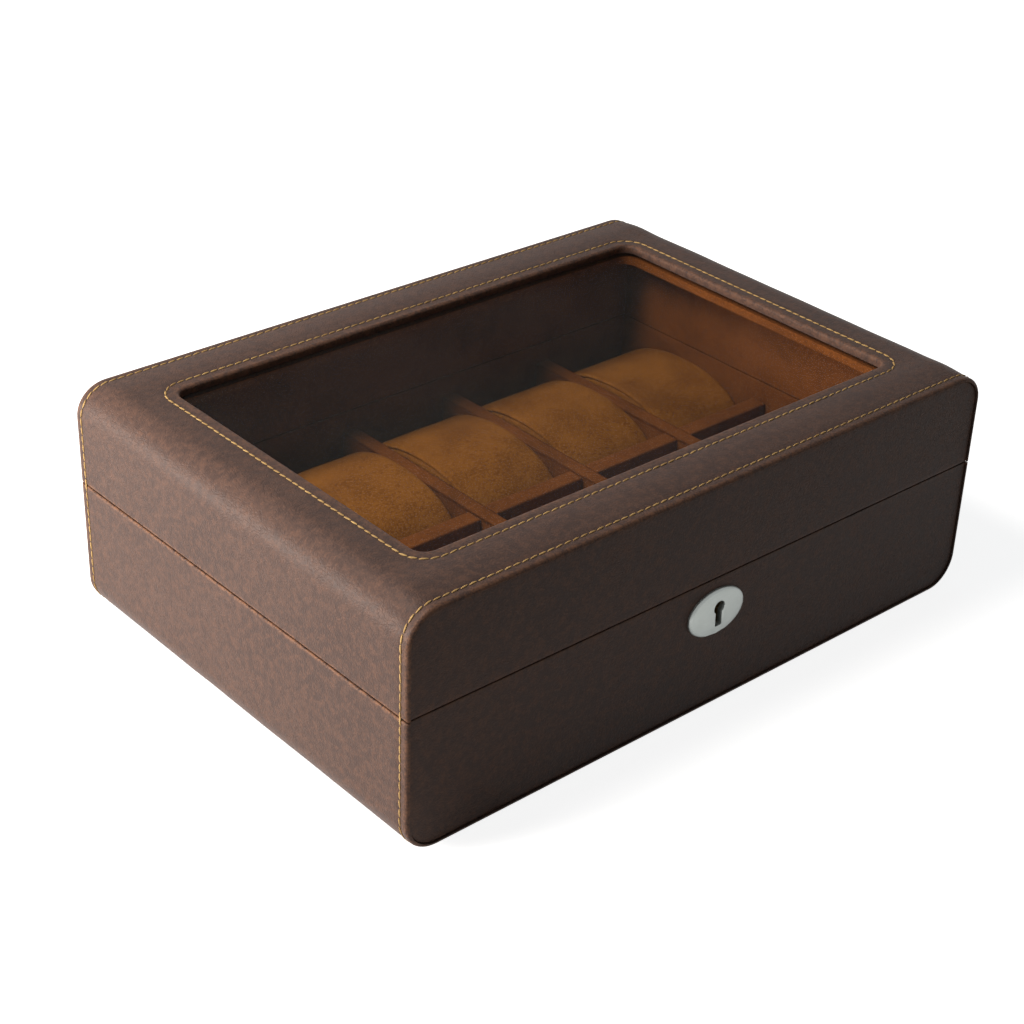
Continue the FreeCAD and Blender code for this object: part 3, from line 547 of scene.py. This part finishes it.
def make_wrap(name, body, parting, far, across, middle, drop, window):
    stations = wrap_stations(parting, far, across)
    rows = wrap_rows(middle)
    inner_edge = PANEL_BACK + 0.1
    inner_rows = [(y, LEATHER, 0.0) for y in (-inner_edge, *middle, inner_edge)]
    sheet = ([], [], [])
    zone = inner_zone = None
    if window:
        first = [x for x, *_ in stations].index(-OPENING_X - ZONE)
        columns = (first, first + ZONE_LONG + 2 * ZONE_CORNER)
        count = ZONE_SHORT + 2 * ZONE_CORNER
        outer_first = [y for y, *_ in rows].index(-OPENING_Y - ZONE)
        zone = columns + (outer_first, outer_first + count)
        inner_zone = columns + (1, 1 + count)
    inner_rings = [(LEATHER, LEATHER, 0.0), (LEATHER, None, 0.0)]
    outer_edges = add_layer(sheet, stations, rows, drop, zone, window_rings())
    inner_edges = add_layer(sheet, stations, inner_rows, drop, inner_zone, inner_rings)
    points, faces, edge_highlight = sheet
    for outer, inner in zip(outer_edges, inner_edges):
        faces.append(outer + inner[::-1])
    piece = make_piece(name, points, faces, body, "leather", edge_highlight)
    return piece, stations


zone_x = zone_lines(OPENING_X, ZONE_LONG)
zone_y = zone_lines(OPENING_Y, ZONE_SHORT)
flat_x = HALF_WIDTH - CORNER
lid_wrap, lid_stations = make_wrap(
    "lid_wrap", "lid", lid_low.z, lid_high.z, [-flat_x] + zone_x + [flat_x], zone_y, lid_drop, True
)
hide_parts("lid_leather_wrap")
base_x = spread(-flat_x, flat_x, 68)
base_y = spread(-89.0, 89.0, 44)
base_wrap, base_stations = make_wrap(
    "base_wrap", "base", base_high.z, base_low.z, base_x, base_y, flat_drop, False
)
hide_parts("base_leather_wrap")


# Front and back leather panels, set a little inside the wraps' edges

FIT = 0.05
SEAM = 0.2
NOTCH = 1.3
PANEL_ROLL = 0.45


def arc(x, z, radius, start, steps=10):
    """Points of a quarter circle."""
    angles = [math.radians(angle) for angle in spread(start, start + 90.0, steps)]
    return [(x + radius * math.cos(angle), z + radius * math.sin(angle)) for angle in angles]


def inset_outline(points, inset):
    """An outline of (x, z), moved inwards along the bisectors of its corners."""
    moved = []
    count = len(points)
    for k in range(count):
        before, here, after = (Vector(points[(k + step) % count]) for step in (-1, 0, 1))
        first = (here - before).normalized()
        second = (after - here).normalized()
        normals = [Vector((-edge.y, edge.x)) for edge in (first, second)]
        middle = (normals[0] + normals[1]).normalized()
        reach = inset / max(0.35, middle.dot(normals[0]))
        moved.append(tuple(here + middle * reach))
    return moved


def panel_outline(parting, far, notches):
    """The outline of a panel, anticlockwise in (x, z).

    The far corners are rounded, and the parting edge has the notches.
    """
    if far < parting:
        turned = panel_outline(-parting, -far, notches)
        return [(x, -z) for x, z in reversed(turned)]
    edge = HALF_WIDTH - LEATHER - FIT
    radius = CORNER - LEATHER - FIT
    points = [(-edge, parting)]
    for start, end in notches:
        deep = parting + NOTCH
        points += [(start, parting), (start, deep), (end, deep), (end, parting)]
    points.append((edge, parting))
    points += arc(edge - radius, far - radius, radius, 0.0)
    points += arc(-edge + radius, far - radius, radius, 90.0)
    return points


def make_panel(name, body, node, side, notches=(), hole=None):
    """A leather panel with rolled edges. Side is -1 for the front and 1 for the back."""
    low, high = node_box(node)
    if body == "lid":
        outline = panel_outline(low.z - SEAM, lid_high.z - LEATHER - lid_drop(HALF_DEPTH) - FIT, notches)
    else:
        outline = panel_outline(high.z + SEAM, base_low.z + LEATHER + FIT, notches)
    shape = bmesh.new()
    highlit = shape.verts.layers.float.new("edge_highlight")

    def ring(points, depth, edge_highlight=0.0):
        made = [shape.verts.new((x * MM, side * depth * MM, z * MM)) for x, z in points]
        for vert in made:
            vert[highlit] = edge_highlight
        return made

    def walls(first, second):
        count = len(first)
        for k in range(count):
            follow = (k + 1) % count
            shape.faces.new((first[k], first[follow], second[follow], second[k]))

    def fill(*loops):
        edges = []
        for loop in loops:
            pairs = zip(loop, loop[1:] + loop[:1])
            edges += [shape.edges.get(pair) or shape.edges.new(pair) for pair in pairs]
        bmesh.ops.triangle_fill(shape, use_beauty=True, edges=edges)

    back = ring(outline, PANEL_BACK)
    face = back
    # The rolled edge's rings get a painted highlight.
    for run, inset in rolled_edge(PANEL_ROLL, 4):
        next_face = ring(inset_outline(outline, run), PANEL_FACE - inset, 0.3 if inset > 0.02 else 0.12)
        walls(face, next_face)
        face = next_face
    calm = ring(inset_outline(outline, 2.2), PANEL_FACE)
    walls(face, calm)
    holes = [[], []]
    if hole:
        x, z, radius = hole
        angles = spread(0.0, 2 * math.pi, 32)[:-1]
        circle = [(x + radius * math.cos(angle), z + radius * math.sin(angle)) for angle in angles]
        holes = [[ring(circle, PANEL_BACK)], [ring(circle, PANEL_FACE)]]
        walls(holes[0][0], holes[1][0])
    fill(back, *holes[0])
    fill(calm, *holes[1])
    bmesh.ops.recalc_face_normals(shape, faces=shape.faces)
    mesh = bpy.data.meshes.new(name)
    shape.to_mesh(mesh)
    shape.free()
    piece = dress(name, mesh, body, "leather")
    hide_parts(node)
    return piece


HINGE_X = 85.0
HALF_NOTCH = 16.2
PLUG_HOLE = 6.5
hinge_notches = [(side * HINGE_X - HALF_NOTCH, side * HINGE_X + HALF_NOTCH) for side in (-1, 1)]
make_panel("lid_front_panel", "lid", "lid_front_leather", -1)
make_panel("lid_back_panel", "lid", "lid_back_leather", 1, hinge_notches)
make_panel("base_front_panel", "base", "base_front_leather", -1, (), (0.0, LOCK_Z, PLUG_HOLE))
make_panel("base_back_panel", "base", "base_back_leather", 1, hinge_notches)


# Stitching

def stitch_tree():
    """Geometry nodes that lay stitches along lines whose points know their surface's direction."""
    group = bpy.data.node_groups.new("stitching", "GeometryNodeTree")
    tree = Tree(group)
    inputs = {}
    kinds = {"Lines": "Geometry", "Pitch": "Float", "Length": "Float", "Width": "Float", "Height": "Float"}
    kinds.update({"Slant": "Float", "Seed": "Int", "Thread": "Material"})
    for name, kind in kinds.items():
        socket = group.interface.new_socket(name, in_out="INPUT", socket_type="NodeSocket" + kind)
        inputs[name] = socket.identifier
    group.interface.new_socket("Stitches", in_out="OUTPUT", socket_type="NodeSocketGeometry")
    entry = group.nodes.new("NodeGroupInput")

    def given(name):
        return Value(tree, entry.outputs[name])

    curve = tree.node("GeometryNodeMeshToCurve", {}, {"Mesh": given("Lines")})
    spacing = {"Curve": curve, "Length": given("Pitch")}
    beads = tree.node("GeometryNodeResampleCurve", {"mode": "LENGTH"}, spacing)
    along = tree.node("GeometryNodeInputTangent")
    up = tree.node("GeometryNodeInputNamedAttribute", {"data_type": "FLOAT_VECTOR"}, {"Name": "up"})
    lying = tree.node("FunctionNodeAlignRotationToVector", {"axis": "X"}, {"Vector": along})
    about_line = {"axis": "Z", "pivot_axis": "X"}
    upright = tree.node("FunctionNodeAlignRotationToVector", about_line, {"Rotation": lying, "Vector": up})
    limits = {2: -0.05, 3: 0.05, "Seed": given("Seed")}
    chance = tree.node("FunctionNodeRandomValue", {"data_type": "FLOAT"}, limits, 1)
    turn = tree.node("ShaderNodeCombineXYZ", {}, {"Z": given("Slant") + chance})
    slant = tree.node("FunctionNodeEulerToRotation", {}, {"Euler": turn})
    slanting = {"Rotation": upright, "Rotate By": slant}
    turned = tree.node("FunctionNodeRotateRotation", {"rotation_space": "LOCAL"}, slanting)
    bead = tree.node("GeometryNodeMeshUVSphere", {}, {"Segments": 8, "Rings": 5, "Radius": 0.5})
    sides = {"X": given("Length"), "Y": given("Width"), "Z": given("Height")}
    size = tree.node("ShaderNodeCombineXYZ", {}, sides)
    lain = tree.node("GeometryNodeTransform", {}, {"Geometry": bead, "Rotation": (0.0, math.pi / 2, 0.0)})
    stitch = tree.node("GeometryNodeTransform", {}, {"Geometry": lain, "Scale": size})
    laid = {"Points": beads, "Instance": stitch, "Rotation": turned}
    placed = tree.node("GeometryNodeInstanceOnPoints", {}, laid)
    real = tree.node("GeometryNodeRealizeInstances", {}, {"Geometry": placed})
    sewn = tree.node("GeometryNodeSetMaterial", {}, {"Geometry": real, "Material": given("Thread")})
    tree.node("NodeGroupOutput", {}, {"Stitches": sewn})
    return group, inputs


STITCHING, STITCH_INPUTS = stitch_tree()


def sew(name, body, lines):
    """Stitches along lines of (point, up) pairs. A line whose ends meet is closed."""
    points, ups, edges = [], [], []
    for line, closed in lines:
        first = len(points)
        points += [Vector(point) * MM for point, _ in line]
        ups += [up for _, up in line]
        edges += [(first + k, first + k + 1) for k in range(len(line) - 1)]
        if closed:
            edges.append((len(points) - 1, first))
    paths = bpy.data.meshes.new(name + "_lines")
    paths.from_pydata(points, edges, [])
    flat_ups = [part for up in ups for part in up]
    paths.attributes.new("up", "FLOAT_VECTOR", "POINT").data.foreach_set("vector", flat_ups)
    carrier = bpy.data.objects.new(name + "_lines", paths)
    bpy.context.scene.collection.objects.link(carrier)
    modifier = carrier.modifiers.new("stitching", "NODES")
    modifier.node_group = STITCHING
    sizes = {"Pitch": 3.9, "Length": 3.7, "Width": 0.9, "Height": 0.72}
    for key, size in sizes.items():
        modifier[STITCH_INPUTS[key]] = size * MM
    modifier[STITCH_INPUTS["Slant"]] = 0.11
    modifier[STITCH_INPUTS["Seed"]] = 7
    modifier[STITCH_INPUTS["Thread"]] = THREAD
    evaluated = carrier.evaluated_get(bpy.context.evaluated_depsgraph_get())
    mesh = bpy.data.meshes.new_from_object(evaluated)
    carrier.modifiers.clear()
    bpy.data.objects.remove(carrier)
    mesh.name = name
    return dress(name, mesh, body, "leather", THREAD, 60.0)


def edge_stitch_line(stations, side, drop):
    """The line of stitches along the front or back edge of a wrap."""
    row = (side * (HALF_DEPTH - STITCH_INSET), 0.1, 0.0)
    line = []
    for station in stations:
        if station[4] == 0.0:
            line.append((wrap_point(station, row, drop), (station[2], 0.0, station[3])))
    return line, False


window_line = []
for x, y in window_outline(WINDOW_STITCH):
    window_line.append(((x, y, lid_high.z - lid_drop(y) - 0.1), (0.0, 0.0, 1.0)))
lid_lines = [edge_stitch_line(lid_stations, side, lid_drop) for side in (-1, 1)] + [(window_line, True)]
sew("lid_stitching", "lid", lid_lines)
sew("base_stitching", "base", [edge_stitch_line(base_stations, side, flat_drop) for side in (-1, 1)])


# Tray dividers, halved over each other

def make_divider(name, outline, thickness, along_x):
    """A divider from its side outline (run, z), with softened edges."""
    shape = bmesh.new()

    def point(run, across, z):
        return Vector((run, across, z) if along_x else (across, run, z)) * MM

    face = shape.faces.new([shape.verts.new(point(run, thickness[0], z)) for run, z in outline])
    grown = bmesh.ops.extrude_face_region(shape, geom=[face])
    far = [item for item in grown["geom"] if isinstance(item, bmesh.types.BMVert)]
    bmesh.ops.translate(shape, verts=far, vec=point(0.0, thickness[1] - thickness[0], 0.0))
    bmesh.ops.recalc_face_normals(shape, faces=shape.faces)
    softened = {"offset": 0.8 * MM, "segments": 3, "profile": 0.5, "affect": "EDGES"}
    bmesh.ops.bevel(shape, geom=shape.edges[:], clamp_overlap=True, **softened)
    broad = [face for face in shape.faces if face.calc_area() > 40 * MM * MM]
    bmesh.ops.inset_individual(shape, faces=broad, thickness=0.5 * MM, use_even_offset=True)
    mesh = bpy.data.meshes.new(name)
    shape.to_mesh(mesh)
    shape.free()
    piece = dress(name + "_suede", mesh, "base", "lining_suede")
    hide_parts(name)
    return piece


long_low, long_high = node_box("tray_long_divider")
LAP = (long_low.z + long_high.z) / 2
LAP_PLAY = 0.1
cross_boxes = [node_box(f"tray_cross_divider_{k}") for k in range(1, 5)]
long_outline = [(long_low.x, long_low.z), (long_high.x, long_low.z), (long_high.x, long_high.z)]
for low, high in reversed(cross_boxes):
    right = high.x + LAP_PLAY
    left = low.x - LAP_PLAY
    long_outline += [(right, long_high.z), (right, LAP), (left, LAP), (left, long_high.z)]
long_outline.append((long_low.x, long_high.z))
make_divider("tray_long_divider", long_outline, (long_low.y, long_high.y), True)
for k, (low, high) in enumerate(cross_boxes, 1):
    front = long_low.y - LAP_PLAY
    back = long_high.y + LAP_PLAY
    notch = [(front, low.z), (front, LAP), (back, LAP), (back, low.z)]
    outline = [(low.y, low.z)] + notch + [(high.y, low.z), (high.y, high.z), (low.y, high.z)]
    make_divider(f"tray_cross_divider_{k}", outline, (low.x, high.x), False)


# Cushions: suede rolls with sewn-in flat ends

AROUND = 120
END_FLAT = 6.0
# Steps of the sewn end: (distance from the end, inset from the full size)
SEWN_END = [
    (2.2, 0.1), (1.1, 0.18), (0.5, 0.42), (0.15, 0.85), (0.05, 1.3),
    (0.5, 1.75), (0.7, 2.05), (0.5, 2.4), (0.12, 3.0), (0.04, 4.5),
]


def make_cushion(node, seed):
    low, high = node_box(node)
    centre = (low + high) / 2
    half = (high - low) / 2
    end_steps = [(half.x - run, inset) for run, inset in SEWN_END]
    end_share = (1.0 - END_FLAT / half.y) / (1.0 - END_FLAT / half.z)
    body_steps = [(run, 0.0) for run in spread(0.0, half.x - 3.6, 8)]
    right = body_steps + end_steps + [(half.x, inset) for inset in (8.5, 12.0, 16.0, 19.5)]
    stations = [(-run, inset) for run, inset in right[:0:-1]] + right
    points = []
    for run, inset in stations:
        for k in range(AROUND):
            angle = 2 * math.pi * k / AROUND
            side, up = math.cos(angle), math.sin(angle)
            full = 2.0 / 2.12
            y = math.copysign(abs(side) ** full, side) * half.y
            z = math.copysign(abs(up) ** full, up) * half.z
            shrink = 1.0 - inset / half.z
            y *= 1.0 - inset / half.y if inset < END_FLAT else shrink * end_share
            z *= shrink
            sag = 0.14 * (1.0 + unevenness(run + seed * 31.0, y, z, 15.0)) if inset < 1.4 else 0.12
            kept = 1 - sag / math.hypot(y, z)
            points.append((centre.x + run, centre.y + y * kept, centre.z + z * kept))
    faces = []
    for s in range(len(stations) - 1):
        here = s * AROUND
        after = here + AROUND
        for k in range(AROUND):
            follow = (k + 1) % AROUND
            faces.append([here + k, here + follow, after + follow, after + k])
    faces.append(list(range(AROUND)))
    faces.append(list(range((len(stations) - 1) * AROUND, len(stations) * AROUND)))
    piece = make_piece(node + "_suede", points, faces, node, "cushion_suede")
    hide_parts(node)
    return piece


cushion_nodes = [f"cushion_{row}_{column}" for row in ("front", "back") for column in range(1, 6)]
for seed, node in enumerate(cushion_nodes, 1):
    make_cushion(node, seed)


# Lock plate: a slightly domed oval with a keyhole

def keyhole_outline():
    head = 2.8
    slot = 1.7
    half_length = 5.5
    top = LOCK_Z + half_length - head
    bottom = LOCK_Z - half_length
    meet = top - math.sqrt(head * head - slot * slot)
    opening = math.asin(slot / head)
    rim = []
    for angle in spread(-math.pi / 2 + opening, 1.5 * math.pi - opening, 24):
        rim.append((head * math.cos(angle), top + head * math.sin(angle)))
    corner = [(0.75 * slot, bottom + 0.07), (slot, bottom + 0.35)]
    side = [(slot, z) for z in spread(bottom + 0.35, meet, 8)[1:-1]]
    right = [(0.0, bottom)] + corner + side
    left = [(-x, z) for x, z in reversed(right[1:])]
    return right + rim + left


def make_lock_plate():
    low, high = node_box("lock_escutcheon")
    half_x = (high.x - low.x) / 2
    half_z = (high.z - low.z) / 2
    rise = high.y - low.y
    keyhole = keyhole_outline()
    count = len(keyhole)
    middle = LOCK_Z
    rim = []
    for x, z in keyhole:
        angle = math.atan2(z - middle, x * 1.6)
        rim.append((half_x * math.cos(angle), middle + half_z * math.sin(angle)))
    points, faces = [], []

    def ring(share, height, shrink=0.0):
        for (hole_x, hole_z), (rim_x, rim_z) in zip(keyhole, rim):
            outward = Vector((rim_x / half_x, (rim_z - middle) / half_z)).normalized()
            end_x = rim_x - outward.x * shrink
            end_z = rim_z - outward.y * shrink
            x = hole_x + (end_x - hole_x) * share
            z = hole_z + (end_z - hole_z) * share
            level = height
            if level is None:
                across = min(1.0, math.hypot(x / half_x, (z - middle) / half_z))
                level = rise - 1.15 * across ** 2.4
            points.append((x, high.y - level, z))

    ring(0.0, 0.0)
    ring(0.0, rise - 0.35)
    ring(0.012, rise - 0.12)
    ring(0.035, None)
    for share in (0.15, 0.3, 0.45, 0.6, 0.72, 0.82, 0.9):
        ring(share, None, 0.35)
    ring(1.0, None, 0.6)
    ring(1.0, 1.22, 0.28)
    ring(1.0, 0.95, 0.06)
    ring(1.0, 0.55, 0.0)
    ring(1.0, 0.0, 0.0)
    rings = len(points) // count
    for r in range(rings):
        for k in range(count):
            follow = (k + 1) % count
            after = (r + 1) % rings
            faces.append([r * count + k, r * count + follow, after * count + follow, after * count + k])
    piece = make_piece("lock_plate", points, faces, "base", "satin_nickel", sharp=50.0)
    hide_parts("lock_escutcheon")


make_lock_plate()


# The CAD nodes that stay take the finish of their slot

NODE_SLOTS = {
    "base_felt": "felt",
    "window_glass": "glass",
    "glass_retainer": "lining_suede",
    "lock_plug": "brass",
    "lock_bolt": "brass",
}


def slot_of(node):
    if node in NODE_SLOTS:
        return NODE_SLOTS[node]
    if node.startswith(("hinge", "lock", "strike")):
        return "nickel_plate"
    if "lining" in node or "divider" in node:
        return "lining_suede"
    if node.startswith("cushion"):
        return "cushion_suede"
    return "leather" if "leather" in node else "board"


for node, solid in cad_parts.items():
    solid.data.materials.clear()
    solid.data.materials.append(FINISHES[slot_of(node)])


# Floor, light and camera

def seen(tree):
    """1 for rays that show the background: camera, glossy and transmission rays."""
    path = tree.nodes.nodes.new("ShaderNodeLightPath")
    names = ("Is Camera Ray", "Is Glossy Ray", "Is Transmission Ray")
    camera_ray, glossy, through = (Value(tree, path.outputs[name]) for name in names)
    either = camera_ray.math("MAXIMUM", camera_ray, glossy)
    return either.math("MAXIMUM", either, through)


def make_floor():
    paper = Finish("white_paper")
    place = paper.place()
    tone = paper.blend(paper.cloud(place, 260.0, 2.0), rgb(0.74, 0.74, 0.74), rgb(0.78, 0.78, 0.78))
    matt = paper.node("ShaderNodeBsdfDiffuse", {}, {"Color": tone})
    glow = paper.node("ShaderNodeEmission", {}, {"Strength": 0.86})
    lit = paper.node("ShaderNodeAddShader", {}, {0: matt, 1: glow})
    paper.surface(paper.node("ShaderNodeMixShader", {}, {0: seen(paper), 1: matt, 2: lit}))
    mesh = bpy.data.meshes.new("floor")
    reach = 6.0
    corners = [(-reach, -reach, 0), (reach, -reach, 0), (reach, reach, 0), (-reach, reach, 0)]
    mesh.from_pydata(corners, [], [(0, 1, 2, 3)])
    mesh.materials.append(paper.material)
    floor = bpy.data.objects.new("floor", mesh)
    bpy.context.scene.collection.objects.link(floor)


def make_world():
    world = bpy.data.worlds.new("studio")
    bpy.context.scene.world = world
    world.use_nodes = True
    tree = Tree(world.node_tree)
    dim = tree.node("ShaderNodeBackground", {}, {"Color": rgb(0.82, 0.94, 1.0), "Strength": 0.079})
    white = tree.node("ShaderNodeBackground", {}, {"Color": rgb(1.0, 1.0, 1.0), "Strength": 1.0})
    mixed = tree.node("ShaderNodeMixShader", {}, {0: seen(tree), 1: dim, 2: white})
    tree.node("ShaderNodeOutputWorld", {}, {"Surface": mixed})


def make_lamp(name, place, size, power, colour):
    lamp = bpy.data.lights.new(name, "AREA")
    lamp.shape = "RECTANGLE"
    lamp.size, lamp.size_y = size
    lamp.energy = power
    lamp.color = colour
    holder = bpy.data.objects.new(name, lamp)
    holder.location = place
    box_middle = Vector((0.0, 0.0, 0.06))
    holder.rotation_euler = (box_middle - Vector(place)).to_track_quat("-Z", "Y").to_euler()
    bpy.context.scene.collection.objects.link(holder)


make_floor()
make_world()
make_lamp("side_softbox", (-0.95, 0.5, 0.17), (0.8, 0.26), 27.5, (1.0, 0.94, 0.88))
make_lamp("overhead_softbox", (-0.34, 0.12, 0.62), (0.3, 0.3), 5.1, (1.0, 0.95, 0.9))

camera = bpy.data.cameras.new("photo_camera")
camera.sensor_width = 36.0
camera.lens = 73.787
viewer = bpy.data.objects.new("photo_camera", camera)
turn = Matrix((
    (0.75558607, -0.6542797, 0.03174537),
    (0.30902222, 0.39876287, 0.86341962),
    (-0.57757681, -0.64257781, 0.50348663),
)).transposed()
viewer.matrix_world = Matrix.Translation((-0.508736, -0.552772, 0.477391)) @ turn.to_4x4()
bpy.context.scene.collection.objects.link(viewer)
bpy.context.scene.camera = viewer
bpy.context.scene.view_settings.view_transform = "Standard"
